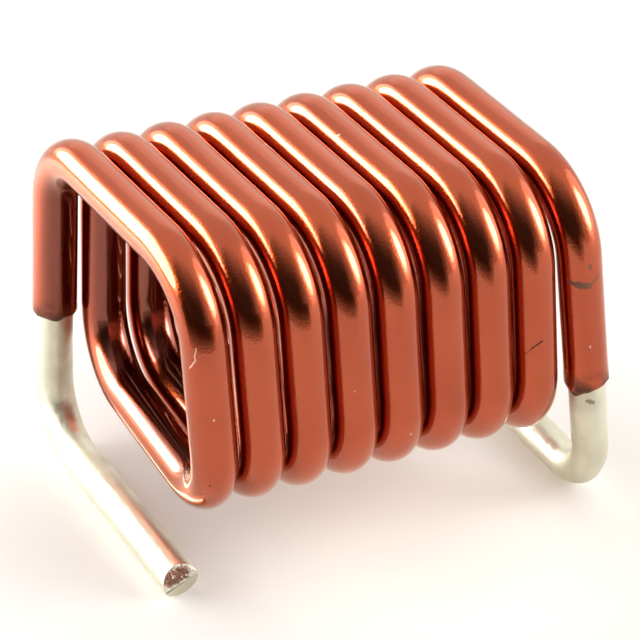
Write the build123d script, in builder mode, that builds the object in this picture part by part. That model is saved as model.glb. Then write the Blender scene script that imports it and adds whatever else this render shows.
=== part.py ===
from build123d import *
import math
import os

os.makedirs("parts", exist_ok=True)

# An air core inductor: one enamelled copper wire wound into a row of rounded square turns,
# with both ends brought down, bent inward as feet and tinned. All sizes are in millimetres.

# Wire
conductor_diameter = 0.65
enamel_thickness = 0.05
enamel_bevel_share = 0.8

# Turns, wound on a form with rounded corners that is pulled out afterwards
turn_count = 9
turn_gap = 0.08
form_width = 4.10
form_height = 3.70
form_corner_radius = 0.825
turn_lean_angle = 3.55

# Leads and feet
foot_clearance = 0.70
foot_reach = 2.14
lead_bend_radius = 1.00
first_tinned_rise = 1.45
last_tinned_rise = 1.17
first_lead_splay = 0.495
first_lead_drift = 0.21
last_lead_splay = 0.05
last_lead_drift = 0.84

# Pinch cut at each free end, left by side cutters
nip_angle = 18.0
nip_roll = 24.0
jaw_reach_share = 0.6

# Derived sizes of the wire and the turns
wire_diameter = conductor_diameter + 2 * enamel_thickness
wire_radius = wire_diameter / 2
conductor_radius = conductor_diameter / 2
pitch = wire_diameter + turn_gap
sides_per_turn = 4
side_advance = pitch / sides_per_turn
bend_radius = form_corner_radius + wire_radius

# Heights of the centreline above the board, and how far it lies either side of the coil's axis
foot_z = conductor_radius
bottom_z = conductor_diameter + foot_clearance + wire_radius
top_z = bottom_z + form_height + wire_diameter
side_y = (form_width + wire_diameter) / 2
lean = (top_z - bottom_z) * math.tan(math.radians(turn_lean_angle))

# Corners of the turns, before they are rounded: over the top, down, underneath and up again.
# The wire steps a quarter of the pitch along on each side, and the turns lean along the coil.
turn_corners = []
for turn in range(turn_count):
    start_x = turn * pitch
    down_x = start_x + side_advance
    under_x = down_x + side_advance + lean
    up_x = under_x + side_advance
    turn_corners.append(Vector(start_x, side_y, top_z))
    turn_corners.append(Vector(down_x, -side_y, top_z))
    if turn < turn_count - 1:
        turn_corners.append(Vector(under_x, -side_y, bottom_z))
        turn_corners.append(Vector(up_x, side_y, bottom_z))

# Corner and free end of each foot: the first runs forward and the last runs back
first_top = turn_corners[0]
last_top = turn_corners[-1]
first_foot_x = first_top.X + first_lead_drift
last_foot_x = last_top.X + last_lead_drift
first_foot_corner = Vector(first_foot_x, side_y + first_lead_splay, foot_z)
last_foot_corner = Vector(last_foot_x, -side_y - last_lead_splay, foot_z)
first_free_end = Vector(first_foot_x, -foot_reach, foot_z)
last_free_end = Vector(last_foot_x, foot_reach, foot_z)

# The enamel ends on the upright part of each lead, at the depth to which that lead was dipped
# in tin, and its edge is bevelled nearly down to the metal
bend_top_z = foot_z + lead_bend_radius
first_enamelled_share = (top_z - bend_top_z - first_tinned_rise) / (top_z - foot_z)
last_enamelled_share = (top_z - bend_top_z - last_tinned_rise) / (top_z - foot_z)
first_enamel_end = first_top + (first_foot_corner - first_top) * first_enamelled_share
last_enamel_end = last_top + (last_foot_corner - last_top) * last_enamelled_share
enamel_edge = enamel_bevel_share * enamel_thickness

# The jaws of the cutter leave a ridge across the wire with a sloping face either side of it
jaw_reach = jaw_reach_share * conductor_diameter
jaw_slope = jaw_reach * math.tan(math.radians(nip_angle))
ridge = Vector(math.cos(math.radians(nip_roll)), 0, math.sin(math.radians(nip_roll)))


def swept_length(route_line):
    """Length of a route, for the check of the swept volume."""
    return sum(edge.length for edge in route_line.edges())


with BuildPart() as winding:
    # Tinned leads, from the end of the enamel round the bend to the free end
    with BuildLine() as first_lead:
        FilletPolyline(first_enamel_end, first_foot_corner, first_free_end, radius=lead_bend_radius)
    with BuildSketch(Plane(origin=first_lead.line @ 0, z_dir=first_lead.line % 0)):
        Circle(conductor_radius)
    sweep(path=first_lead.line)
    with BuildLine() as last_lead:
        FilletPolyline(last_enamel_end, last_foot_corner, last_free_end, radius=lead_bend_radius)
    with BuildSketch(Plane(origin=last_lead.line @ 0, z_dir=last_lead.line % 0)):
        Circle(conductor_radius)
    sweep(path=last_lead.line)

    # Pinch-cut free ends: what lies outside the two sloping faces is taken away
    for free_end, outward in ((first_free_end, Vector(0, -1, 0)), (last_free_end, Vector(0, 1, 0))):
        with BuildSketch(Plane(origin=free_end, x_dir=outward, z_dir=ridge)):
            with BuildLine():
                Polyline(
                    (0, 0),
                    (-jaw_slope, jaw_reach),
                    (jaw_reach, jaw_reach),
                    (jaw_reach, -jaw_reach),
                    (-jaw_slope, -jaw_reach),
                    close=True,
                )
            make_face()
        extrude(amount=jaw_reach, both=True, mode=Mode.SUBTRACT)

    # Enamelled wire, from one lead over all the turns to the other
    with BuildLine() as enamelled:
        FilletPolyline(first_enamel_end, *turn_corners, last_enamel_end, radius=bend_radius)
    with BuildSketch(Plane(origin=enamelled.line @ 0, z_dir=enamelled.line % 0)):
        Circle(wire_radius)
    sweep(path=enamelled.line)

    # The enamel's two edges are bevelled
    rims = winding.edges().filter_by(GeomType.CIRCLE).filter_by(lambda rim: rim.radius > conductor_radius)
    for enamel_end in (first_enamel_end, last_enamel_end):
        chamfer(rims.sort_by_distance(enamel_end)[0], length=enamel_edge)

# The origin is the middle of the footprint, on the board
footprint = winding.part.bounding_box()
winding.part.move(Location((-footprint.center().X, -footprint.center().Y, -footprint.min.Z)))

winding.part.label = "winding"
export_step(winding.part, "parts/winding.step")

# Measurements, printed to compare the solid with its section times its length
enamelled_length = swept_length(enamelled.line)
tinned_length = swept_length(first_lead.line) + swept_length(last_lead.line)
expected_volume = math.pi * (wire_radius**2 * enamelled_length + conductor_radius**2 * tinned_length)
box = winding.part.bounding_box()
print("wire length", round(enamelled_length + tinned_length, 3), "of which tinned", round(tinned_length, 3))
print("volume", round(winding.part.volume, 4), "section times length", round(expected_volume, 4))
print("solids", len(winding.part.solids()), "valid", winding.part.is_valid)
print("pitch", round(pitch, 4), "bend radius", bend_radius, "lead bend radius", lead_bend_radius)
print("box from", [round(v, 4) for v in box.min], "to", [round(v, 4) for v in box.max])
print("footprint middle", round(footprint.center().X, 4), round(footprint.center().Y, 4))
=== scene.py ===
# %% [markdown]
# # An air core inductor, dressed for its portrait
# The part is one length of enamelled copper wire, wound into nine rounded square turns. Both
# ends are stripped, dipped in tin and bent under as feet. This script loads the solid model as
# a fixed frame, models the same wire again with finer rings, and gives it its finishes.

# %% Load the fixed frame
import math

import bpy
from mathutils import Matrix, Vector


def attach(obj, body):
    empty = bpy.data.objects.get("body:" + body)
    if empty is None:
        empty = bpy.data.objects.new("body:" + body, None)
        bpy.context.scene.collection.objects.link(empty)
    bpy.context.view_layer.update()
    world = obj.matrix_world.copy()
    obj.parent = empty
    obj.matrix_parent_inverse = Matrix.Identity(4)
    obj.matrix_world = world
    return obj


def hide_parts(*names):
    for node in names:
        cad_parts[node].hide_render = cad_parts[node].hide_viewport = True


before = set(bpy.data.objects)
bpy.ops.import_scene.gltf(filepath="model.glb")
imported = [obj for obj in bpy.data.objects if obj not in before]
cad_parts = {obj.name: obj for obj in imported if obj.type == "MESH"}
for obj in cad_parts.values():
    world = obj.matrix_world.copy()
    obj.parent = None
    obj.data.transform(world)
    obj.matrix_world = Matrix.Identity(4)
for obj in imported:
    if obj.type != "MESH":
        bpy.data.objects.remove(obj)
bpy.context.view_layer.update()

# %% [markdown]
# ## Sizes
# The wire follows the solid model, so its sizes are the model's own: a form of a given size,
# the wire laid on it, and a step of a quarter of the pitch on each side. They are written in
# millimetres, the wire is modelled in millimetres too, and the finished piece is scaled down
# to Blender's metres, because tiny numbers are hard to read and some tools merge close points.

# %% Sizes of the wire and its turns, in millimetres
MM = 0.001
conductor_diameter = 0.65
enamel_thickness = 0.05
turn_count = 9
turn_gap = 0.08
form_width = 4.10
form_height = 3.70
form_corner_radius = 0.825
turn_lean_angle = 3.55
foot_clearance = 0.70
foot_reach = 2.14
lead_bend_radius = 1.00
first_tinned_rise = 1.45
last_tinned_rise = 1.17
first_lead_splay = 0.495
first_lead_drift = 0.21
last_lead_splay = 0.05
last_lead_drift = 0.84
nip_angle = 18.0
nip_roll = 24.0

conductor_radius = conductor_diameter / 2
wire_radius = conductor_radius + enamel_thickness
wire_diameter = 2 * wire_radius
pitch = wire_diameter + turn_gap
side_advance = pitch / 4
bend_radius = form_corner_radius + wire_radius
foot_z = conductor_radius
bottom_z = conductor_diameter + foot_clearance + wire_radius
top_z = bottom_z + form_height + wire_diameter
side_y = (form_width + wire_diameter) / 2
lean = (top_z - bottom_z) * math.tan(math.radians(turn_lean_angle))
print("pitch", round(pitch, 3), "mm, bend radius", bend_radius, "mm")

# %% [markdown]
# ## The route of the wire
# A winder bends the wire round the four corners of a form. The route is therefore a list of
# sharp corners, one for each bend, and the bends are spun later. A loop works the corners out,
# so there is no long list of points to keep right.

# %% Corners of the route
corners = []
for turn in range(turn_count):
    start_x = turn * pitch
    down_x = start_x + side_advance
    under_x = down_x + side_advance + lean
    corners.append(Vector((start_x, side_y, top_z)))
    corners.append(Vector((down_x, -side_y, top_z)))
    if turn < turn_count - 1:
        corners.append(Vector((under_x, -side_y, bottom_z)))
        corners.append(Vector((under_x + side_advance, side_y, bottom_z)))
print(len(corners), "corners")

# %% [markdown]
# ## Where the leads run
# The wire leaves the coil at both ends, runs down beside it and turns in under it as a foot.
# The enamel stops on the upright part, as high as that lead was dipped in tin. Both feet and
# both edges are worked out from the corners they hang from, so they move with them.

# %% Corners of the feet and ends of the enamel
first_foot_x = corners[0].x + first_lead_drift
last_foot_x = corners[-1].x + last_lead_drift
first_foot_corner = Vector((first_foot_x, side_y + first_lead_splay, foot_z))
last_foot_corner = Vector((last_foot_x, -side_y - last_lead_splay, foot_z))
first_free_end = Vector((first_foot_x, -foot_reach, foot_z))
last_free_end = Vector((last_foot_x, foot_reach, foot_z))


def enamel_end_on(top, foot_corner, tinned_rise):
    """The point on a lead's upright part at which its enamel stops."""
    enamelled = top_z - foot_z - lead_bend_radius - tinned_rise
    return top.lerp(foot_corner, enamelled / (top_z - foot_z))


first_enamel_end = enamel_end_on(corners[0], first_foot_corner, first_tinned_rise)
last_enamel_end = enamel_end_on(corners[-1], last_foot_corner, last_tinned_rise)
print("enamel ends", round(first_enamel_end.z, 3), "and", round(last_enamel_end.z, 3), "mm up")

# %% [markdown]
# ## Drawing a round wire, run by run
# On the bench a straight wire is bent round one corner after another. The model is made the
# same way: a circle is added at the wire's end, extruded along each straight run, and spun
# round each bend. A curve with a round bevel would be quicker to type, but its rings bunch up
# in tight bends, while extrude and spin put every ring exactly where the bend has it.

# %% Where a bend lies
def deselect_all():
    """Leave edit mode and select nothing, so that the next operator acts on its own piece."""
    if bpy.context.object and bpy.context.object.mode != "OBJECT":
        bpy.ops.object.mode_set(mode="OBJECT")
    bpy.ops.object.select_all(action="DESELECT")


def bend_at(before, corner, after, radius):
    """Where a bend of that radius starts and ends, its centre, its axis and its angle."""
    way_in = (corner - before).normalized()
    way_out = (after - corner).normalized()
    angle = way_in.angle(way_out)
    cut_back = radius * math.tan(angle / 2)
    inward = (way_out - way_in).normalized()
    centre = corner + inward * radius / math.cos(angle / 2)
    axis = way_in.cross(way_out).normalized()
    return corner - way_in * cut_back, corner + way_out * cut_back, centre, axis, angle


second_bend_angle = bend_at(*corners[:3], bend_radius)[4]
print("the second corner bends by", round(math.degrees(second_bend_angle), 1), "degrees")

# %% Draw a wire through its corners
SIDES = 64
BEND_STEPS = 18


def draw_wire(name, points, bends, radius, run_cuts):
    """A round wire through the points, with a bend radius for each inner point, and its rings.

    Each ring is its centre, the wire's way there, a mark that turns with the wire, and how far
    along it lies. The spin operator turns against the right-hand rule, so its angle is negative.
    """
    deselect_all()
    way = (points[1] - points[0]).normalized()
    turned = way.to_track_quat("Z", "Y")
    bpy.ops.mesh.primitive_circle_add(
        vertices=SIDES, radius=radius, location=points[0], rotation=turned.to_euler()
    )
    piece = bpy.context.object
    piece.name = name
    piece.data.name = name
    bpy.ops.object.transform_apply(location=True, rotation=True, scale=True)
    bpy.ops.object.mode_set(mode="EDIT")
    bpy.ops.mesh.select_mode(type="VERT")
    bpy.ops.mesh.select_all(action="SELECT")
    rings = [(points[0], way, turned @ Vector((0, 1, 0)), 0.0)]

    def run_to(place):
        step = (place - rings[-1][0]) / run_cuts
        for _ in range(run_cuts):
            bpy.ops.mesh.extrude_region_move(TRANSFORM_OT_translate={"value": step})
            here, way, mark, along = rings[-1]
            rings.append((here + step, way, mark, along + step.length))

    for before, corner, after, bend in zip(points, points[1:], points[2:], bends):
        start, end, centre, axis, angle = bend_at(before, corner, after, bend)
        run_to(start)
        bpy.ops.mesh.spin(
            steps=BEND_STEPS, angle=-angle, center=centre, axis=axis, use_auto_merge=False
        )
        small_turn = Matrix.Rotation(angle / BEND_STEPS, 3, axis)
        small_length = bend * angle / BEND_STEPS
        for _ in range(BEND_STEPS):
            here, way, mark, along = rings[-1]
            here = centre + small_turn @ (here - centre)
            rings.append((here, small_turn @ way, small_turn @ mark, along + small_length))
    run_to(points[-1])
    bpy.ops.object.mode_set(mode="OBJECT")
    return piece, rings


print("each wire has", SIDES, "sides and", BEND_STEPS, "steps in a bend")

# %% [markdown]
# ## Coordinates that follow the wire
# Streaks, lumps and scratches on a wire run along it or round it, also where it bends. A
# pattern in plain object space would cut straight through the bends. So each point keeps an
# attribute with its place on the straightened wire: two numbers go round it and one along it.
# A second attribute says how squarely the point faces the middle of the coil, where the wire
# lay on the form, and so where the enamel gets its painted shade.

# %% Store each point's place on the straightened wire
WIRE_PLACE = "wire_place"
FORM_SIDE = "form_side"
axis_z = (bottom_z + top_z) / 2


def store_wire_place(piece, rings, begin=0.0):
    """Each point's place on the straightened wire, in millimetres, and how it faces the form.

    Both attributes are added before either is fetched, because adding one moves the others.
    """
    piece.data.attributes.new(WIRE_PLACE, "FLOAT_VECTOR", "POINT")
    piece.data.attributes.new(FORM_SIDE, "FLOAT", "POINT")
    places = piece.data.attributes[WIRE_PLACE]
    sides = piece.data.attributes[FORM_SIDE]
    radii = []
    for index, vertex in enumerate(piece.data.vertices):
        here, way, mark, along = rings[index // SIDES]
        out = vertex.co - here
        across = Vector((out.dot(mark), out.dot(way.cross(mark))))
        radii.append(across.length)
        to_axis = Vector((0, -here.y, axis_z - here.z)).normalized()
        sides.data[index].value = out.dot(to_axis) / across.length if across.length else 0.0
        places.data[index].vector = (across.x, across.y, begin + along + out.dot(way))
    print(piece.name, len(rings), "rings, radius", round(min(radii), 4), "to", round(max(radii), 4))


# %% [markdown]
# ## The enamelled wire
# The enamel covers the wire from one lead over all the turns to the other. The route is drawn
# a little short at both ends, and the last bit is extruded in small steps, because the
# stripped edge needs its own close rings.

# %% Draw the enamelled wire
EDGE_LENGTH = 0.36
EDGE_STEPS = 6
RUN_CUTS = 3
first_way = (corners[0] - first_enamel_end).normalized()
last_way = (last_enamel_end - corners[-1]).normalized()
route_start = first_enamel_end + first_way * EDGE_LENGTH
route_end = last_enamel_end - last_way * EDGE_LENGTH
winding, winding_rings = draw_wire(
    "enamelled_winding", [route_start] + corners + [route_end],
    [bend_radius] * len(corners), wire_radius, RUN_CUTS,
)
print("last ring", round(winding_rings[-1][3], 2), "mm along the wire")

# %% [markdown]
# ## The ragged edge of the enamel
# A dip in hot solder burns the enamel away, and what is left ends in a thin, uneven line with
# a tongue here and there. The end ring is extruded to the edge, drawn in nearly to the metal,
# and then turned back inside the wire and closed, where the lead hides it.

# %% Helpers that choose points and turn faces outwards
def select_in_edit_mode(piece, kind, chosen):
    """Open the piece for editing with only the chosen vertices selected."""
    deselect_all()
    bpy.context.view_layer.objects.active = piece
    piece.select_set(True)
    bpy.ops.object.mode_set(mode="EDIT")
    bpy.ops.mesh.select_mode(type=kind)
    bpy.ops.mesh.select_all(action="DESELECT")
    bpy.ops.object.mode_set(mode="OBJECT")
    for index in chosen:
        piece.data.vertices[index].select = True
    bpy.ops.object.mode_set(mode="EDIT")


def face_outward(piece):
    """Turn every face of a closed piece outwards, because spin can leave it inside out."""
    select_in_edit_mode(piece, "FACE", [])
    bpy.ops.mesh.select_all(action="SELECT")
    bpy.ops.mesh.normals_make_consistent(inside=False)
    bpy.ops.object.mode_set(mode="OBJECT")


print("helpers for editing ready")

# %% Extrude both ends to the edge, and close them inside
FEATHER = 0.012
TURNED_BACK = 0.9 * EDGE_LENGTH
CLOSED_RADIUS = 0.8 * conductor_radius


def extrude_edge(piece, rings, end_ring, outward, edge_centre):
    """Extrude an end ring to the enamel's edge, feather it, and close it inside the wire."""
    select_in_edit_mode(piece, "VERT", range(end_ring * SIDES, end_ring * SIDES + SIDES))
    here, way, mark, along = rings[end_ring]
    forward = way.dot(outward)
    step = outward * EDGE_LENGTH / EDGE_STEPS
    for _ in range(EDGE_STEPS):
        bpy.ops.mesh.extrude_region_move(TRANSFORM_OT_translate={"value": step})
        here, along = here + step, along + forward * step.length
        rings.append((here, way, mark, along))
    edge_radius = conductor_radius + FEATHER
    feathered = edge_radius / wire_radius
    bpy.ops.transform.resize(value=(feathered,) * 3, center_override=edge_centre)
    back = -outward * TURNED_BACK
    closed = CLOSED_RADIUS / edge_radius
    bpy.ops.mesh.extrude_region_move(TRANSFORM_OT_translate={"value": back})
    bpy.ops.transform.resize(value=(closed,) * 3, center_override=edge_centre + back)
    rings.append((here + back, way, mark, along - forward * TURNED_BACK))
    bpy.ops.mesh.edge_face_add()
    bpy.ops.object.mode_set(mode="OBJECT")
    return len(rings) - 2


first_edge = extrude_edge(winding, winding_rings, 0, -first_way, first_enamel_end)
last_end_ring = first_edge - EDGE_STEPS
last_edge = extrude_edge(winding, winding_rings, last_end_ring, last_way, last_enamel_end)
print("edge rings", first_edge, "and", last_edge, "of", len(winding_rings))

# %% [markdown]
# ## Tongues and notches
# No two edges burn back alike. Single points of the edge are pulled along the wire with
# proportional editing, as with the mouse. Noise would be less work, but here each tongue can
# be put where the real edge has one.

# %% Pull tongues and notches into the edge
FIRST_PULLS = [  # angle round the wire, distance along it, reach of the pull
    (150, -0.02, 0.22), (178, 0.015, 0.16), (-150, -0.02, 0.15), (-100, 0.02, 0.2),
    (-40, -0.03, 0.2), (20, 0.03, 0.18), (70, -0.03, 0.2), (110, 0.02, 0.15),
]
LAST_PULLS = [
    (-94, 0.09, 0.2), (-165, -0.04, 0.2), (165, -0.06, 0.2), (120, 0.05, 0.2),
    (60, -0.06, 0.25), (0, 0.07, 0.2), (-50, -0.04, 0.18),
]


def pull_edge(piece, rings, edge_ring, outward, pulls):
    """Move single points of an edge ring along the wire, each with a soft reach round it."""
    here, way, mark, _ = rings[edge_ring]
    ring = range(edge_ring * SIDES, edge_ring * SIDES + SIDES)
    for degrees, distance, reach in pulls:
        angle = math.radians(degrees)
        toward = mark * math.cos(angle) + way.cross(mark) * math.sin(angle)
        nearest = max(ring, key=lambda index: (piece.data.vertices[index].co - here).dot(toward))
        select_in_edit_mode(piece, "VERT", [nearest])
        bpy.ops.transform.translate(
            value=outward * distance,
            use_proportional_edit=True,
            proportional_edit_falloff="SMOOTH",
            proportional_size=reach,
        )
        bpy.ops.object.mode_set(mode="OBJECT")


pull_edge(winding, winding_rings, first_edge, -first_way, FIRST_PULLS)
pull_edge(winding, winding_rings, last_edge, last_way, LAST_PULLS)
store_wire_place(winding, winding_rings)

# %% [markdown]
# ## Nipping the free ends
# Side cutters squeeze through the wire from both sides and leave a blunt ridge. Two bisections
# with filled cuts give the same two faces. A small bevel then takes the knife edge off the rim
# and the ridge, where tin was dragged over them.

# %% Cut a free end and soften its rim
FLAT_ENOUGH = 0.999
RIM_BEVEL = 0.025
RIM_STEPS = 3
ridge = Vector((math.cos(math.radians(nip_roll)), 0, math.sin(math.radians(nip_roll))))
nip_slope = math.radians(nip_angle)


def cut_free_end(lead, free_end, outward):
    """Close the inner end, cut the free end with two sloping planes, and give their facings."""
    select_in_edit_mode(lead, "VERT", range(SIDES))
    bpy.ops.mesh.edge_face_add()
    across = ridge.cross(outward)
    facings = [
        outward * math.cos(nip_slope) + across * side * math.sin(nip_slope) for side in (1, -1)
    ]
    for facing in facings:
        bpy.ops.mesh.select_all(action="SELECT")
        bpy.ops.mesh.bisect(
            plane_co=free_end, plane_no=facing, use_fill=True, clear_outer=True
        )
    face_outward(lead)
    return facings


def soften_rim(lead, facings):
    """Bevel all edges of the two cut faces."""
    cut_faces = [
        face for face in lead.data.polygons
        if max(face.normal.dot(facing) for facing in facings) > FLAT_ENOUGH
    ]
    select_in_edit_mode(lead, "VERT", {index for face in cut_faces for index in face.vertices})
    bpy.ops.mesh.select_mode(type="EDGE")
    bpy.ops.mesh.bevel(offset=RIM_BEVEL, segments=RIM_STEPS, affect="EDGES")
    bpy.ops.object.mode_set(mode="OBJECT")
    face_outward(lead)
    print(lead.name, "cut faces", len(cut_faces), "vertices", len(lead.data.vertices))


# %% [markdown]
# ## The tinned leads
# Each lead is a second, slightly thinner wire that starts inside the enamel. Solder freezes in
# soft lumps, so a displace modifier with a cloud texture presses the surface in by up to three
# hundredths of a millimetre. It only presses in, so the lead stays inside the solid. The last
# lead's place along the wire begins at 150 mm, so that a mark on one lead isn't on the other.

# %% Draw both leads
LEAD_OVERLAP = 0.4
LEAD_RUN_CUTS = 14
LUMP_DEPTH = 0.03
LAST_LEAD_BEGIN = 150.0
reached_points = [vertex.co.copy() for vertex in winding.data.vertices]
solder_lumps = bpy.data.textures.new("solder_lumps", "CLOUDS")
solder_lumps.noise_scale = 0.7
solder_lumps.noise_depth = 1


def press_lumps(lead):
    """Press soft lumps into a lead's surface."""
    lumps = lead.modifiers.new("solder_lumps", "DISPLACE")
    lumps.texture = solder_lumps
    lumps.texture_coords = "LOCAL"
    lumps.strength = LUMP_DEPTH
    lumps.mid_level = 1.0
    bpy.ops.object.modifier_apply(modifier=lumps.name)


def draw_lead(name, enamel_end, foot_corner, free_end, begin):
    """One tinned lead, out of the enamel and along the foot, and the facings of its cut."""
    outward = (free_end - foot_corner).normalized()
    inside = enamel_end + (enamel_end - foot_corner).normalized() * LEAD_OVERLAP
    past_end = free_end + outward * conductor_radius
    route = [inside, foot_corner, past_end]
    lead, rings = draw_wire(name, route, [lead_bend_radius], conductor_radius, LEAD_RUN_CUTS)
    store_wire_place(lead, rings, begin)
    facings = cut_free_end(lead, free_end, outward)
    soften_rim(lead, facings)
    reached_points.extend(vertex.co.copy() for vertex in lead.data.vertices)
    press_lumps(lead)
    return lead, facings


first_lead, first_facings = draw_lead(
    "first_tinned_lead", first_enamel_end, first_foot_corner, first_free_end, 0.0
)
last_lead, last_facings = draw_lead(
    "last_tinned_lead", last_enamel_end, last_foot_corner, last_free_end, LAST_LEAD_BEGIN
)

# %% [markdown]
# ## Into the frame
# The frame's origin is the middle of the footprint. The pieces were measured before the lumps
# were pressed in. They are moved by that middle and scaled to metres in their meshes, so that
# each object stays at the origin, unturned and unscaled, and each pattern stays where it was.

# %% Move the pieces to the frame's origin and scale them to metres
SMOOTH_ANGLE = 40
pieces = [winding, first_lead, last_lead]
every_x = [point.x for point in reached_points]
every_y = [point.y for point in reached_points]
middle_x = (min(every_x) + max(every_x)) / 2
middle_y = (min(every_y) + max(every_y)) / 2
into_frame = Matrix.Scale(MM, 4) @ Matrix.Translation((-middle_x, -middle_y, 0))
for piece in pieces:
    piece.data.transform(into_frame)
    face_outward(piece)
    bpy.ops.object.shade_smooth_by_angle(angle=math.radians(SMOOTH_ANGLE))
    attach(piece, "root")
    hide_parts("winding")
print("middle of the footprint", round(middle_x, 4), round(middle_y, 4), "mm")

# %% [markdown]
# ## Building node trees in code
# Every finish is a small tree of nodes. A few helpers keep the cells short: one adds a node
# and fills its inputs with numbers or links, others do sums, spread values and mix colours,
# and two start and place a node group, which is an effect that several materials can share.

# %% Helpers that add nodes
def link_or_set(tree, socket, value):
    """Link another node's output to a socket, or write a plain value in it."""
    if isinstance(value, bpy.types.NodeSocket):
        tree.links.new(value, socket)
    else:
        socket.default_value = value


def add_node(tree, kind, label, inputs=None, **options):
    """Add a shader node with its label and options, and fill its inputs."""
    node = tree.nodes.new("ShaderNode" + kind)
    node.name = node.label = label
    for option, value in options.items():
        setattr(node, option, value)
    for name, value in (inputs or {}).items():
        link_or_set(tree, node.inputs[name], value)
    return node


def math_node(tree, operation, label, *values, clamp=False):
    """A Math node with its values or links in order, and its output."""
    inputs = dict(enumerate(values))
    return add_node(tree, "Math", label, inputs, operation=operation, use_clamp=clamp).outputs[0]


def vector_node(tree, operation, label, *values, scale=None, output="Vector"):
    """A Vector Math node with its values or links in order, and the output that is asked for."""
    inputs = dict(enumerate(values))
    if scale is not None:
        inputs["Scale"] = scale
    return add_node(tree, "VectorMath", label, inputs, operation=operation).outputs[output]


def separate(tree, label, vector, axis):
    """One number of a vector."""
    return add_node(tree, "SeparateXYZ", label, {0: vector}).outputs[axis]


print("helpers for sums ready")

# %% Helpers that spread values and mix colours
def spread(tree, label, value, low, high, to_low=0.0, to_high=1.0, kind="SMOOTHSTEP"):
    """Spread a value from one range to another, softly at both ends unless it is linear."""
    inputs = {
        "Value": value, "From Min": low, "From Max": high, "To Min": to_low, "To Max": to_high
    }
    return add_node(tree, "MapRange", label, inputs, interpolation_type=kind).outputs[0]


def mix_colors(tree, label, share, first, second):
    """Mix two colours by a share that changes over the surface.

    A Mix node has sockets for every kind of value. Those numbered 6 and 7 are its colours.
    """
    node = add_node(tree, "Mix", label, {"Factor": share}, data_type="RGBA")
    for socket, color in ((node.inputs[6], first), (node.inputs[7], second)):
        link_or_set(tree, socket, (*color, 1.0) if isinstance(color, tuple) else color)
    return node.outputs[2]


print("helpers for values and colours ready")

# %% Helpers for node groups
def start_group(name, vectors, numbers, output):
    """A node group with vector inputs, number inputs with their usual values, and one output."""
    group = bpy.data.node_groups.new(name, "ShaderNodeTree")
    new_socket = group.interface.new_socket
    for label in vectors:
        new_socket(name=label, in_out="INPUT", socket_type="NodeSocketVector")
    for label, usual in numbers.items():
        socket = new_socket(name=label, in_out="INPUT", socket_type="NodeSocketFloat")
        socket.default_value = usual
    new_socket(name=output, in_out="OUTPUT", socket_type="NodeSocketFloat")
    start = group.nodes.new("NodeGroupInput")
    return group, start.outputs, group.nodes.new("NodeGroupOutput").inputs


def use_group(tree, group, label, place, **values):
    """Place a node group in a material with its own values, and give back its output."""
    return add_node(tree, "Group", label, {"Place": place, **values}, node_tree=group).outputs[0]


print("helpers for groups ready")

# %% [markdown]
# ## Drawn lines, as a shared effect
# Wire is pulled through a die, and the die leaves faint lines along it. The same lines show in
# the bare tinned ends, so the effect is a group: noise on the wire's own place, squeezed round
# the wire and stretched along it.

# %% Node group: drawn lines
drawn_lines, given, result = start_group(
    "drawn_lines", ["Place"], {"Spacing": 0.05, "Length": 4.0}, "Lines"
)
tree = drawn_lines
round_scale = math_node(tree, "DIVIDE", "lines per millimetre", 1.0, given["Spacing"])
along_scale = math_node(tree, "DIVIDE", "stretch along the wire", 1.0, given["Length"])
scales = add_node(tree, "CombineXYZ", "scales", {0: round_scale, 1: round_scale, 2: along_scale})
squeezed = vector_node(tree, "MULTIPLY", "squeezed place", given["Place"], scales.outputs[0])
line_noise = add_node(
    tree, "TexNoise", "line noise",
    {"Vector": squeezed, "Scale": 1.0, "Detail": 3.0, "Roughness": 0.6},
)
tree.links.new(spread(tree, "lines", line_noise.outputs["Fac"], 0.3, 0.7), result["Lines"])
print("group", tree.name, "with", len(tree.nodes), "nodes")

# %% [markdown]
# ## Soft patches, as a shared effect
# Neither enamel nor solder is laid on evenly. Soft patches of a chosen size vary the colour
# and the gloss of both, and at a very small size they give the metal its fine grain.

# %% Node group: soft patches
soft_patches, given, result = start_group(
    "soft_patches", ["Place"], {"Size": 1.0, "From": 0.35, "To": 0.65}, "Patch"
)
tree = soft_patches
patch_scale = math_node(tree, "DIVIDE", "patches per millimetre", 1.0, given["Size"])
patch_noise = add_node(
    tree, "TexNoise", "patch noise",
    {"Vector": given["Place"], "Scale": patch_scale, "Detail": 2.0, "Roughness": 0.5},
)
patch = spread(tree, "patch", patch_noise.outputs["Fac"], given["From"], given["To"])
tree.links.new(patch, result["Patch"])
print("group", tree.name, "with", len(tree.nodes), "nodes")

# %% [markdown]
# ## Dust, as a shared effect
# A few specks of dust and dark grains lie on any handled part. Each cell of a Voronoi texture
# holds one round speck, and only a chosen share of the cells is used.

# %% Node group: specks
specks, given, result = start_group(
    "specks", ["Place"], {"Spacing": 0.5, "Share": 0.3, "Size": 0.02}, "Specks"
)
tree = specks
cell_scale = math_node(tree, "DIVIDE", "cells per millimetre", 1.0, given["Spacing"])
cells = add_node(tree, "TexVoronoi", "cells", {"Vector": given["Place"], "Scale": cell_scale})
cell_number = separate(tree, "random number of the cell", cells.outputs["Color"], 0)
used = math_node(tree, "LESS_THAN", "is the cell used", cell_number, given["Share"])
distance = cells.outputs["Distance"]
away = math_node(tree, "MULTIPLY", "distance in millimetres", distance, given["Spacing"])
near = math_node(tree, "DIVIDE", "distance in speck sizes", away, given["Size"])
speck = math_node(tree, "MULTIPLY", "speck", spread(tree, "round", near, 1.0, 0.5), used)
tree.links.new(speck, result["Specks"])
print("group", tree.name, "with", len(tree.nodes), "nodes")

# %% [markdown]
# ## One mark at a chosen place, as a shared effect
# Some marks are one of a kind: a scratch across a turn, a pit, a stain on the solder. This
# group marks everything within a width of the line between two places on the wire, and noise
# makes its outline ragged. Where both places are the same, the mark is round.

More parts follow.
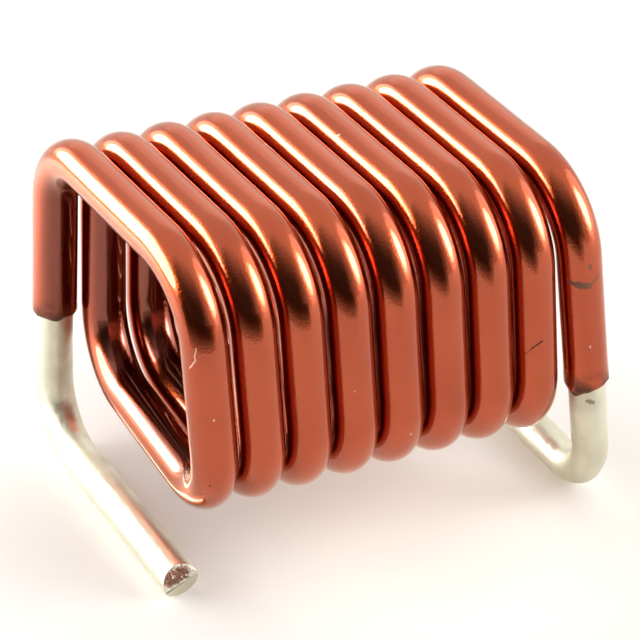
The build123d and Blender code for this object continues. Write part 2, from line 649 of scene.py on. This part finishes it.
# %% Node group: a single mark
single_mark, given, result = start_group(
    "single_mark", ["Place", "Start", "Finish"],
    {"Width": 0.03, "Ragged": 0.02, "Fine": 0.05}, "Mark",
)
tree = single_mark
rag_scale = math_node(tree, "DIVIDE", "notches per millimetre", 1.0, given["Fine"])
rag_noise = add_node(
    tree, "TexNoise", "notches", {"Vector": given["Place"], "Scale": rag_scale, "Detail": 2.0}
)
rags = rag_noise.outputs["Color"]
centred = vector_node(tree, "SUBTRACT", "noise either way", rags, (0.5, 0.5, 0.5))
shake = vector_node(tree, "SCALE", "shake", centred, scale=given["Ragged"])
shaken = vector_node(tree, "ADD", "shaken place", given["Place"], shake)
from_start = vector_node(tree, "SUBTRACT", "from the start", shaken, given["Start"])
whole = vector_node(tree, "SUBTRACT", "whole line", given["Finish"], given["Start"])
print("group", tree.name, "has its shaken place")

# %% [markdown]
# ## How far from the line
# The nearest place on a line is a share of the whole line, never less than none or more than
# all of it. Two dot products give that share, and the distance from there, counted in widths,
# fades the mark out at its rim.

# %% Finish the single mark
dot_here = vector_node(tree, "DOT_PRODUCT", "along the line", from_start, whole, output="Value")
dot_whole = vector_node(tree, "DOT_PRODUCT", "length squared", whole, whole, output="Value")
share = math_node(tree, "DIVIDE", "share of the line", dot_here, dot_whole, clamp=True)
reached = vector_node(tree, "SCALE", "nearest place on the line", whole, scale=share)
apart = vector_node(
    tree, "DISTANCE", "distance from the line", from_start, reached, output="Value"
)
widths = math_node(tree, "DIVIDE", "distance in widths", apart, given["Width"])
tree.links.new(spread(tree, "mark", widths, 1.0, 0.55), result["Mark"])
print("group", tree.name, "with", len(tree.nodes), "nodes")

# %% [markdown]
# ## The enamelled copper
# Magnet wire is bright copper under a clear film of polyurethane, which tints it a warm red
# brown. A metal shader with a red copper colour makes the tinted copper, and its clear coat is
# the film's own sharp gloss. Patches vary the tint a little. Painted shade makes the side that
# lay on the form darker, because inside the turns copper mirrors copper again and again.

# %% Start the enamel: its tint
CLEAR_TINT = (0.44, 0.062, 0.007)
THICK_TINT = (0.39, 0.050, 0.005)
PAINTED_INNER_SHADE = (0.20, 0.035, 0.012)
INNER_FROM, INNER_TO = 0.15, 0.85


def start_material(name):
    """A new material, its node tree, its Principled shader and the wire's place."""
    material = bpy.data.materials.new(name)
    material.use_nodes = True
    tree = material.node_tree
    place = add_node(tree, "Attribute", "place on the wire", attribute_name=WIRE_PLACE)
    return material, tree, tree.nodes["Principled BSDF"], place.outputs["Vector"]


enamel, tree, shader, place = start_material("enamelled_copper")
film = use_group(tree, soft_patches, "uneven film", place, Size=2.2, From=0.35, To=0.75)
tint = mix_colors(tree, "tint of the film", film, CLEAR_TINT, THICK_TINT)
facing_form = add_node(tree, "Attribute", "side on the form", attribute_name=FORM_SIDE)
facing_form = facing_form.outputs["Fac"]
# Painted shade: the copper is painted darker where it faces the middle of the coil.
inner_shade = spread(tree, "inner side of the turn", facing_form, INNER_FROM, INNER_TO)
tint = mix_colors(tree, "painted shade inside the turns", inner_shade, tint, PAINTED_INNER_SHADE)
print("film tint", CLEAR_TINT, "to", THICK_TINT)

# %% [markdown]
# ## Scorched film
# The heat of the tin browns the film for half a millimetre above each edge, in blotches. The
# third number of the wire's place says how far along a point lies, so the scorch needs no
# painting: it fades in towards each edge and is broken up by soft patches.

# %% Scorch the film near its two edges
SCORCH_REACH = 0.5
SCORCH = (0.07, 0.022, 0.012)
first_edge_along = winding_rings[first_edge][3]
last_edge_along = winding_rings[last_edge][3]
along = separate(tree, "along the wire", place, "Z")
near_first = spread(
    tree, "near the first edge", along, first_edge_along + SCORCH_REACH, first_edge_along
)
near_last = spread(
    tree, "near the last edge", along, last_edge_along - SCORCH_REACH, last_edge_along
)
near_edge = math_node(tree, "MAXIMUM", "near an edge", near_first, near_last)
blotches = use_group(
    tree, soft_patches, "scorched blotches", place, Size=0.22, From=0.3, To=0.62
)
scorched = math_node(tree, "MULTIPLY", "scorched", near_edge, blotches)
tint = mix_colors(tree, "scorched film", scorched, tint, SCORCH)
print("edges at", round(first_edge_along, 3), "and", round(last_edge_along, 3), "mm along")

# %% [markdown]
# ## Marks on the enamel
# The handled coil has some marks that anyone would notice: a flaked line on the first turn, a
# dark scratch on the eighth, a smear of burnt film on the last, bright specks, a bit of lint,
# a chip and some pits. Each is a single mark, given by two places on the straightened wire in
# millimetres, its width and how ragged it is.

# %% The marks, one by one
PALE_MARKS = [
    ("flake top", (0.103, 0.36, 8.038), (0.06, 0.37, 8.168), 0.014, 0.03),
    ("flake bend", (0.06, 0.37, 8.168), (0.075, 0.368, 8.228), 0.013, 0.02),
    ("flake foot", (0.075, 0.368, 8.228), (-0.05, 0.371, 8.40), 0.016, 0.03),
    ("speck on the first turn", (0.251, 0.278, 9.354), (0.251, 0.278, 9.354), 0.024, 0.01),
    ("speck on the fourth turn", (-0.16, 0.339, 59.228), (-0.16, 0.339, 59.228), 0.016, 0.01),
    ("speck on the fifth turn", (-0.16, 0.339, 76.858), (-0.16, 0.339, 76.858), 0.022, 0.02),
    ("speck on the sixth turn", (-0.363, 0.091, 87.688), (-0.34, 0.12, 87.708), 0.024, 0.03),
    ("lint on the fourth turn", (0.225, 0.299, 54.408), (0.29, 0.23, 54.538), 0.035, 0.05),
    ("chip on the last turn", (-0.321, -0.193, 142.418), (-0.321, -0.193, 142.438), 0.018, 0.02),
]
DARK_MARKS = [
    ("pit on the first bend", (-0.16, 0.339, 5.218), (-0.16, 0.339, 5.218), 0.025, 0.02),
    ("pit low on the first turn", (0.133, 0.35, 10.568), (0.133, 0.35, 10.568), 0.020, 0.01),
    ("pit under the first turn", (0.022, 0.374, 10.798), (0.022, 0.374, 10.798), 0.018, 0.01),
    ("scratch on the eighth turn", (-0.374, -0.018, 125.485), (-0.333, -0.172, 125.6), 0.019, 0.03),
    ("tail of the scratch", (-0.333, -0.172, 125.60), (-0.252, -0.277, 125.74), 0.010, 0.02),
]
BURNT_SMEAR = [
    ("smear left", (-0.091, -0.363, 141.15), (-0.223, -0.301, 141.19), 0.045, 0.06),
    ("smear middle", (-0.223, -0.301, 141.19), (-0.339, -0.16, 141.25), 0.075, 0.09),
    ("smear right", (-0.339, -0.16, 141.25), (-0.371, 0.02, 141.13), 0.032, 0.05),
    ("smear above", (-0.353, -0.126, 140.868), (-0.353, -0.126, 140.898), 0.035, 0.07),
]
print(len(PALE_MARKS), "pale and", len(DARK_MARKS), "dark marks,", len(BURNT_SMEAR), "strokes")

# %% Put the marks on the film
SMEAR_COLOR = (0.13, 0.085, 0.06)
DARK_COLOR = (0.02, 0.008, 0.006)
PALE_COLOR = (0.85, 0.62, 0.48)
THIN = 0.8


def add_marks(tree, place, marks):
    """All the marks of one kind as one mask."""
    mask = None
    for name, first, last, width, ragged in marks:
        mark = use_group(
            tree, single_mark, name, place, Start=first, Finish=last, Width=width, Ragged=ragged
        )
        mask = math_node(tree, "MAXIMUM", "with " + name, mask, mark) if mask else mark
    return mask


pale = add_marks(tree, place, PALE_MARKS)
dust = use_group(tree, specks, "dust", place, Spacing=0.9, Share=0.25, Size=0.017)
pale = math_node(tree, "MAXIMUM", "marks and dust", pale, dust)
dark = add_marks(tree, place, DARK_MARKS)
smear = add_marks(tree, place, BURNT_SMEAR)
thin_smear = math_node(tree, "MULTIPLY", "thin smear", smear, THIN)
thin_dust = math_node(tree, "MULTIPLY", "thin dust", pale, THIN)
tint = mix_colors(tree, "burnt smear", thin_smear, tint, SMEAR_COLOR)
tint = mix_colors(tree, "dark marks", dark, tint, DARK_COLOR)
tint = mix_colors(tree, "pale marks", thin_dust, tint, PALE_COLOR)
print("the film's colour goes through", len(tree.nodes), "nodes")

# %% [markdown]
# ## Gloss and relief of the enamel
# Where the film is scorched, smeared or chipped it loses its gloss and covers the metal. Grain
# and drawn lines of the copper and slow ripples of the film break up the edge of each
# highlight: together they are less than a hundredth of a millimetre high, so a bump does it.
# The specular tint is the metal's colour where it is seen edge on, and is kept warm, because a
# grey one would draw grey outlines round the wire.

# %% Dull the marks
SMOOTH_COPPER, LINED_COPPER = 0.15, 0.21
DULL_ROUGHNESS = 0.3
DULL_COVER = 0.7
lines = use_group(tree, drawn_lines, "drawn lines", place, Spacing=0.06, Length=6.0)
pale_or_dark = math_node(tree, "MAXIMUM", "pale or dark", pale, dark)
dull = math_node(tree, "MAXIMUM", "scorched or smeared", scorched, smear)
dull = math_node(tree, "MAXIMUM", "or marked", dull, pale_or_dark)
glossy = math_node(tree, "SUBTRACT", "clean film", 1.0, dull)
gloss = spread(tree, "gloss of the copper", lines, 0.0, 1.0, SMOOTH_COPPER, LINED_COPPER)
dullness = math_node(tree, "MULTIPLY", "dullness", dull, DULL_ROUGHNESS)
rough = math_node(tree, "ADD", "rougher where dull", gloss, dullness)
covered = math_node(tree, "MULTIPLY", "covered", dull, DULL_COVER)
metal = math_node(tree, "SUBTRACT", "metal", 1.0, covered)
print("copper roughness", SMOOTH_COPPER, "to", LINED_COPPER)

# %% Add the relief and join everything to the enamel's shader
GRAIN_SHARE, RIPPLE_SHARE = 2.2, 3.0
COPPER_RELIEF = 0.0007 * MM


def add_bump(tree, label, distance, height):
    """A Bump node of full strength."""
    inputs = {"Strength": 1.0, "Distance": distance, "Height": height}
    return add_node(tree, "Bump", label, inputs).outputs[0]


grain = use_group(
    tree, soft_patches, "grain of the copper", place, Size=0.035, From=0.2, To=0.8
)
grain_height = math_node(tree, "MULTIPLY", "grain height", grain, GRAIN_SHARE)
height = math_node(tree, "ADD", "grain and lines", grain_height, lines)
ripples = use_group(tree, drawn_lines, "ripples of the film", place, Spacing=0.30, Length=2.5)
ripple_height = math_node(tree, "MULTIPLY", "ripple height", ripples, RIPPLE_SHARE)
height = math_node(tree, "ADD", "and ripples", height, ripple_height)
tree.links.new(tint, shader.inputs["Base Color"])
tree.links.new(rough, shader.inputs["Roughness"])
tree.links.new(metal, shader.inputs["Metallic"])
tree.links.new(glossy, shader.inputs["Coat Weight"])
tree.links.new(add_bump(tree, "copper relief", COPPER_RELIEF, height), shader.inputs["Normal"])
shader.inputs["Specular Tint"].default_value = (0.90, 0.60, 0.45, 1)
shader.inputs["Coat Roughness"].default_value = 0.02
shader.inputs["Coat IOR"].default_value = 1.5
winding.data.materials.append(enamel)
print("enamel has", len(tree.nodes), "nodes")

# %% [markdown]
# ## The tinned ends
# Solder freezes pale and slightly grey-green, brighter in some places than in others, with
# soft ripples and faint drawn lines that show through from the copper. Flux leaves a small
# brown stain where the last lead leaves its enamel.

# %% Colour of the tin
BRIGHT_TIN = (0.68, 0.655, 0.52)
DULL_TIN = (0.60, 0.57, 0.45)
STAIN_COLOR = (0.16, 0.12, 0.07)
GRAIN_COLOR = (0.30, 0.27, 0.20)
FLUX_STAIN = [("flux stain", (-0.138, 0.294, 150.58), (-0.05, 0.32, 150.62), 0.05, 0.06)]
STAIN_SHARE = 0.7
tin, tree, shader, place = start_material("tinned_wire")
patches = use_group(
    tree, soft_patches, "dull and bright tin", place, Size=0.7, From=0.35, To=0.7
)
tin_color = mix_colors(tree, "tin colour", patches, BRIGHT_TIN, DULL_TIN)
stain = add_marks(tree, place, FLUX_STAIN)
thin_stain = math_node(tree, "MULTIPLY", "thin stain", stain, STAIN_SHARE)
tin_color = mix_colors(tree, "flux stain on the tin", thin_stain, tin_color, STAIN_COLOR)
grains = use_group(tree, specks, "dark grains", place, Spacing=0.45, Share=0.3, Size=0.012)
tin_color = mix_colors(tree, "grains on the tin", grains, tin_color, GRAIN_COLOR)
tree.links.new(tin_color, shader.inputs["Base Color"])
print("tin from", BRIGHT_TIN, "to", DULL_TIN)

# %% Gloss and relief of the tin
SMOOTH_TIN, ROUGH_TIN = 0.38, 0.5
LINE_ROUGHNESS = 0.06
LOW_LINES = 0.12
TIN_RELIEF = 0.006 * MM
lines = use_group(tree, drawn_lines, "drawn lines", place, Spacing=0.07, Length=1.6)
dull_tin = spread(tree, "dull tin", patches, 0.0, 1.0, SMOOTH_TIN, ROUGH_TIN)
lined = math_node(tree, "MULTIPLY", "lined", lines, LINE_ROUGHNESS)
tin_rough = math_node(tree, "ADD", "tin roughness", dull_tin, lined)
ripples = use_group(tree, soft_patches, "ripples", place, Size=0.22, From=0.2, To=0.8)
low_lines = math_node(tree, "MULTIPLY", "low lines", lines, LOW_LINES)
tin_height = math_node(tree, "ADD", "ripples and lines", ripples, low_lines)
tree.links.new(tin_rough, shader.inputs["Roughness"])
tree.links.new(add_bump(tree, "solder relief", TIN_RELIEF, tin_height), shader.inputs["Normal"])
shader.inputs["Metallic"].default_value = 1.0
for lead in (first_lead, last_lead):
    lead.data.materials.append(tin)
print("tin has", len(tree.nodes), "nodes")

# %% [markdown]
# ## The nipped copper
# The upper face of each cut shows bare copper with bright smears of tin dragged along by the
# jaw, and the lower face is tin nearly all over. So only the upper one gets a material of its
# own: a ragged patch of copper in the tin, broken by smears and torn across.

# %% Bare copper with smears of tin
BARE_COPPER = [
    ("copper of the first cut", (-0.18, -0.15, 7.35), (-0.13, 0.08, 7.31), 0.18, 0.14),
    ("copper of the last cut", (-0.2, -0.085, 156.76), (0.03, -0.16, 156.76), 0.18, 0.14),
]
CUT_TIN = (0.70, 0.67, 0.56)
CUT_COPPER = (0.20, 0.10, 0.07)
THICK_FROM, THICK_TO = 0.8, 0.95
SHEAR_SHARE = 0.4
SMOOTH_CUT, ROUGH_CUT = 0.28, 0.45
CUT_RELIEF = 0.02 * MM
nipped, tree, shader, place = start_material("nipped_copper")
copper = add_marks(tree, place, BARE_COPPER)
smears = use_group(tree, drawn_lines, "smears of tin", place, Spacing=0.11, Length=0.11)
thick_smears = spread(tree, "thick smears", smears, THICK_FROM, THICK_TO)
copper = math_node(
    tree, "SUBTRACT", "copper between smears", copper, thick_smears, clamp=True
)
copper_color = mix_colors(tree, "copper in the tin", copper, CUT_TIN, CUT_COPPER)
shear_lines = use_group(tree, drawn_lines, "shear lines", place, Spacing=0.035, Length=0.05)
low_shear = math_node(tree, "MULTIPLY", "low shear lines", shear_lines, SHEAR_SHARE)
torn = math_node(tree, "ADD", "torn and dragged", smears, low_shear)
cut_rough = spread(tree, "cut roughness", shear_lines, 0.0, 1.0, SMOOTH_CUT, ROUGH_CUT)
tree.links.new(copper_color, shader.inputs["Base Color"])
tree.links.new(cut_rough, shader.inputs["Roughness"])
tree.links.new(add_bump(tree, "torn copper", CUT_RELIEF, torn), shader.inputs["Normal"])
shader.inputs["Metallic"].default_value = 1.0
print("nipped copper has", len(tree.nodes), "nodes")

# %% Put it on the upper cut faces
CUT_DEPTH = 0.3 * MM
NEARLY_FLAT = 0.995
for lead, facings in ((first_lead, first_facings), (last_lead, last_facings)):
    lead.data.materials.append(nipped)
    upper = max(facings, key=lambda facing: facing.z)
    end_y = max(face.center.y * upper.y for face in lead.data.polygons)
    cut_faces = [
        face for face in lead.data.polygons
        if face.normal.dot(upper) > NEARLY_FLAT and face.center.y * upper.y > end_y - CUT_DEPTH
    ]
    for face in cut_faces:
        face.material_index = 1
    print(lead.name, len(cut_faces), "faces of bare copper")

# %% [markdown]
# ## The camera
# The camera stands above the coil, in front of its first turn, as in the photograph. It is
# close to a tiny thing, so its near clipping distance is set to a millimetre.

# %% Camera
camera_place = Vector((-24.44, -44.27, 34.31)) * MM
camera_aim = Vector((0.009, 0.137, 3.0)) * MM
camera_roll = 2.70
camera_data = bpy.data.cameras.new("camera")
camera_data.lens = 202.5
camera_data.sensor_width = 36.0
camera_data.clip_start = 0.001
camera_data.clip_end = 10.0
camera = bpy.data.objects.new("camera", camera_data)
bpy.context.scene.collection.objects.link(camera)


def aim(place, target, roll=0.0):
    """The matrix of a camera or lamp that stands at a place and looks at a target."""
    look = (target - place).to_track_quat("-Z", "Y").to_matrix().to_4x4()
    return Matrix.Translation(place) @ look @ Matrix.Rotation(math.radians(roll), 4, "Z")


camera.matrix_world = aim(camera_place, camera_aim, camera_roll)
bpy.context.scene.camera = camera
print("camera", round((camera_aim - camera_place).length / MM, 1), "mm from what it looks at")

# %% [markdown]
# ## The white floor
# The coil lies on white card. The card's own colour is a plain light grey, and a little
# emission for camera, glossy and transmission rays lifts it to white, also where the bare
# metal mirrors it. The emission is warm, as painted bounce light from the copper in the
# shadow, and a painted pool of light in front of the coil lifts it more there. What the lamps
# don't reach stays darker, so the shadow is kept.

# %% Floor
FLOOR_SIZE = 0.6
FLOOR_LIFT, PAINTED_POOL_LIFT = 0.17, 0.46
PAINTED_POOL_SPOT = (0.0008, -0.0030, 0.0)
SPOT_EDGE, SPOT_HEART = 4.4 * MM, 1.2 * MM
deselect_all()
bpy.ops.mesh.primitive_plane_add(size=FLOOR_SIZE, location=(0, 0, 0))
floor = bpy.context.object
floor.name = "floor"
card = bpy.data.materials.new("white_card")
card.use_nodes = True
tree = card.node_tree
shader = tree.nodes["Principled BSDF"]
shader.inputs["Base Color"].default_value = (0.70, 0.70, 0.70, 1)
shader.inputs["Roughness"].default_value = 0.9
shader.inputs["Specular IOR Level"].default_value = 0.0
# Painted bounce light: the emission is warm, so it warms the shadow as light from the copper would.
shader.inputs["Emission Color"].default_value = (1, 0.86, 0.68, 1)
rays = add_node(tree, "LightPath", "kind of ray").outputs
seen = math_node(
    tree, "MAXIMUM", "seen or mirrored", rays["Is Camera Ray"], rays["Is Glossy Ray"]
)
seen = math_node(tree, "MAXIMUM", "or through glass", seen, rays["Is Transmission Ray"])
# Painted pool of light: the emission is stronger in a spot in front of the coil, which lightens the
# shadow there.
on_card = add_node(tree, "TexCoord", "where on the card").outputs["Object"]
away = vector_node(
    tree, "DISTANCE", "distance from the painted pool of light", on_card, PAINTED_POOL_SPOT, output="Value"
)
lift = spread(
    tree, "painted pool of light in front of the coil", away, SPOT_EDGE, SPOT_HEART, FLOOR_LIFT, PAINTED_POOL_LIFT
)
tree.links.new(math_node(tree, "MULTIPLY", "lift", seen, lift), shader.inputs["Emission Strength"])
floor.data.materials.append(card)
print("floor lifted by", FLOOR_LIFT, "and in front by", PAINTED_POOL_LIFT)

# %% [markdown]
# ## A black flag
# Photographers stand a black card, a flag, beside a shiny part to give it dark shapes to
# mirror. This one stands close in front to the left and ends the bright floor there, which
# draws the dark patch on each front bend. It is a quarter of a round wall, so it is extruded
# from a circle. Only mirror-like rays see it: it casts no shadow.

# %% Stand the flag
FLAG_SIDES = 48
FLAG_DISTANCE = 0.0125
FLAG_HEIGHT = 0.006
OPEN_FROM, OPEN_TO = -106, 164
deselect_all()
bpy.ops.mesh.primitive_circle_add(vertices=FLAG_SIDES, radius=FLAG_DISTANCE, location=(0, 0, 0))
flag = bpy.context.object
flag.name = "flag"
bpy.ops.object.mode_set(mode="EDIT")
bpy.ops.mesh.select_mode(type="VERT")
bpy.ops.mesh.select_all(action="SELECT")
bpy.ops.mesh.extrude_region_move(TRANSFORM_OT_translate={"value": (0, 0, FLAG_HEIGHT)})
bpy.ops.mesh.select_mode(type="FACE")
bpy.ops.mesh.select_all(action="DESELECT")
bpy.ops.object.mode_set(mode="OBJECT")
for face in flag.data.polygons:
    azimuth = math.degrees(math.atan2(face.center.x, face.center.y))
    face.select = OPEN_FROM < azimuth < OPEN_TO
bpy.ops.object.mode_set(mode="EDIT")
bpy.ops.mesh.delete(type="FACE")
bpy.ops.object.mode_set(mode="OBJECT")
print("flag with", len(flag.data.polygons), "faces")

# %% Blacken the flag, and paint a glow on it
FOOT_GLOW, TOP_GLOW, GLOW_HEIGHT = 0.55, 0.02, 0.0042
END_GLOW, GLOW_REACH = 0.5, 0.0034
black_card = bpy.data.materials.new("black_card")
black_card.use_nodes = True
tree = black_card.node_tree
shader = tree.nodes["Principled BSDF"]
on_flag = add_node(tree, "TexCoord", "where on the flag").outputs["Object"]
flag_z = separate(tree, "height on the flag", on_flag, "Z")
flag_x = separate(tree, "side of the flag", on_flag, "X")
# Painted glow: the flag's emission stands in for lit floor mirrored at its foot, fading upwards,
# and at its right end.
foot_glow = spread(tree, "painted glow at its foot", flag_z, 0.0, GLOW_HEIGHT, FOOT_GLOW, TOP_GLOW)
end_glow = spread(tree, "painted glow at its right end", flag_x, 0.0, GLOW_REACH, 0.0, END_GLOW)
glow = math_node(tree, "ADD", "painted glow of the flag", foot_glow, end_glow)
tree.links.new(glow, shader.inputs["Emission Strength"])
shader.inputs["Emission Color"].default_value = (1, 0.96, 0.9, 1)
shader.inputs["Base Color"].default_value = (0.02, 0.015, 0.012, 1)
shader.inputs["Roughness"].default_value = 1.0
shader.inputs["Specular IOR Level"].default_value = 0.0
flag.data.materials.append(black_card)
flag.visible_camera = flag.visible_diffuse = False
flag.visible_transmission = flag.visible_shadow = False
print("flag glows by", FOOT_GLOW, "at its foot and", TOP_GLOW, "above", GLOW_HEIGHT / MM, "mm")

# %% [markdown]
# ## The room
# Metal shows what stands round it, so the room matters as much as the metal. The coil was
# photographed under a soft white roof, with a dark room behind the camera. The world is that
# roof, with a dark side towards the camera's corner of the room: one ramp by height and one
# round the horizon, multiplied.

# %% World
ROOF_LEVEL = 1.12
DARK_LEVEL = 0.06
DARK_TURN = 130
DARK_BY_HEIGHT = [
    (0.40, 1.0), (0.57, 0.92), (0.71, 0.78), (0.82, 0.6), (0.91, 0.42), (0.975, 0.1), (1.0, 0.0)
]
DARK_BY_COMPASS = [(0.372, 0.0), (0.388, 1.0), (0.60, 1.0), (0.64, 0.78), (0.68, 0.35), (0.73, 0.0)]


def ramp_node(tree, label, value, stops):
    """A grey colour ramp from (position, level) stops."""
    ramp = add_node(tree, "ValToRGB", label, {"Fac": value})
    elements = ramp.color_ramp.elements
    while len(elements) > 1:
        elements.remove(elements[-1])
    elements[0].position, elements[0].color = stops[0][0], (stops[0][1],) * 3 + (1,)
    for position, level in stops[1:]:
        elements.new(position).color = (level,) * 3 + (1,)
    return ramp.outputs["Color"]


world = bpy.data.worlds.new("studio")
bpy.context.scene.world = world
world.use_nodes = True
tree = world.node_tree
direction = add_node(tree, "TexCoord", "direction").outputs["Generated"]
height = separate(tree, "height of the direction", direction, "Z")
turned = add_node(
    tree, "Mapping", "dark side ahead",
    {"Vector": direction, "Rotation": (0, 0, math.radians(DARK_TURN))}, vector_type="POINT",
)
compass = add_node(
    tree, "TexGradient", "round the horizon", {"Vector": turned.outputs[0]},
    gradient_type="RADIAL",
)
low_dark = ramp_node(tree, "dark by height", height, DARK_BY_HEIGHT)
side_dark = ramp_node(tree, "dark by compass", compass.outputs["Fac"], DARK_BY_COMPASS)
darkness = math_node(tree, "MULTIPLY", "dark side", low_dark, side_dark)
level = spread(tree, "level", darkness, 0.0, 1.0, ROOF_LEVEL, DARK_LEVEL, kind="LINEAR")
tree.nodes["Background"].inputs["Color"].default_value = (1, 0.98, 0.95, 1)
tree.links.new(level, tree.nodes["Background"].inputs["Strength"])
bpy.context.scene.view_settings.view_transform = "Standard"
print("roof level", ROOF_LEVEL, "dark side", DARK_LEVEL)

# %% [markdown]
# ## Soft boxes
# A long bright window stands behind the coil to the left and draws the white streak along the
# top of every turn. A squarer soft box to the right puts the glint beside the dark patch on
# each front bend, and a dim one behind lifts the back. Some lamps are seen by mirror-like rays
# only: a shine makes a streak white without more light on the floor, and a glow is a wider,
# dimmer lamp behind, which softens the streak's edge. A lamp's energy is worked out from how
# bright it should look.

# %% Soft boxes
LAMP_TARGET = Vector((0, 0, 3.0)) * MM
SOFT_BOXES = [
    # name, azimuth, elevation, roll, distance, width, height, brightness, mirrors only
    ("window", -58, 14, 8, 92, 136, 74, 4.0, False),
    ("window_shine", -58, 14, 8, 92.5, 136, 74, 8.0, True),
    ("window_glow", -55, 15, 8, 96, 184, 94, 2.4, True),
    ("side_box", 121, 25, 0, 92, 54, 70, 6.0, False),
    ("side_shine", 121, 26, 0, 91.5, 34, 50, 9.0, True),
    ("side_glow", 112, 24, 0, 96, 120, 110, 1.3, True),
    ("back_glow", 22, 28, 0, 96, 90, 50, 0.35, False),
]


def add_soft_box(name, azimuth, elevation, roll, distance, width, height, brightness):
    """A round area lamp aimed at the coil. Azimuth runs from +Y towards +X, in degrees."""
    lamp = bpy.data.lights.new(name, "AREA")
    lamp.shape = "ELLIPSE"
    lamp.size, lamp.size_y = width * MM, height * MM
    area = lamp.size * lamp.size_y * math.pi / 4
    lamp.energy = brightness * math.pi * area
    turn, rise = math.radians(azimuth), math.radians(elevation)
    way = Vector((math.sin(turn) * math.cos(rise), math.cos(turn) * math.cos(rise), math.sin(rise)))
    box = bpy.data.objects.new(name, lamp)
    bpy.context.scene.collection.objects.link(box)
    box.matrix_world = aim(LAMP_TARGET + way * distance * MM, LAMP_TARGET, roll)
    print(name, "with an energy of", round(lamp.energy, 4), "W,", distance, "mm away")
    return box


for *sizes, mirrors_only in SOFT_BOXES:
    add_soft_box(*sizes).visible_diffuse = not mirrors_only

# %% [markdown]
# ## A pool of light
# Behind and to the left the card is quite white, because the window is close to it there. A
# soft spot lamp lights that side of the card alone, which a stronger window couldn't do without
# more light on the coil.

# %% A pool of light on the card
POOL_ANGLE = 20
POOL_ENERGY = 1.8
POOL_SOFTNESS = 4 * MM
pool_from, pool_at = Vector((-60, 45, 60)) * MM, Vector((-21, 15, 0)) * MM
pool_lamp = bpy.data.lights.new("pool", "SPOT")
pool_lamp.spot_size = math.radians(POOL_ANGLE)
pool_lamp.spot_blend = 1.0
pool_lamp.shadow_soft_size = POOL_SOFTNESS
pool_lamp.energy = POOL_ENERGY
pool = bpy.data.objects.new("pool", pool_lamp)
bpy.context.scene.collection.objects.link(pool)
pool.matrix_world = aim(pool_from, pool_at)
print("pool of light", round((pool_at - pool_from).length / MM, 1), "mm from the card")
